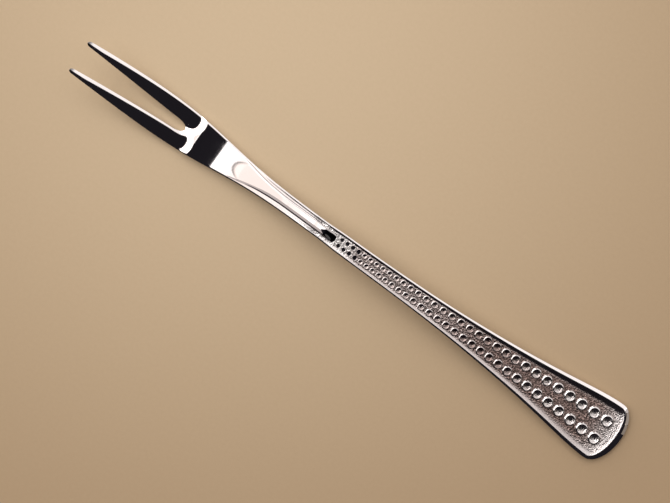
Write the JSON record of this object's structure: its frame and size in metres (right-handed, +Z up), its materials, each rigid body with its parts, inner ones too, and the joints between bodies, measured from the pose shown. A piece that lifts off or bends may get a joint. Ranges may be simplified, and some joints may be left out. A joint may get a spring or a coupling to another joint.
{
  "type": "two-tined serving fork",
  "caption": "Flat metal meat fork with long pointed tines, a slim neck with a raised tongue, and a flared handle with a raised rim round graduated rows of dished bosses.",
  "frame": {"origin": "on the table plane, under the middle of the fork's bounding box", "axes": "+X along the fork, from the points of the tines to the end of the handle; +Z up, away from the table, on the decorated face; the fork is even about Y = 0"},
  "size_m": [0.2, 0.0204, 0.0091],
  "materials": {
    "polished_metal": "polished, with a fine stippled ground beside the tongue and between the bosses"
  },
  "bodies": {
    "root": {"left_tine": "polished_metal", "right_tine": "polished_metal", "head": "polished_metal", "neck": "polished_metal", "handle": "polished_metal"}
  },
  "joints": []
}
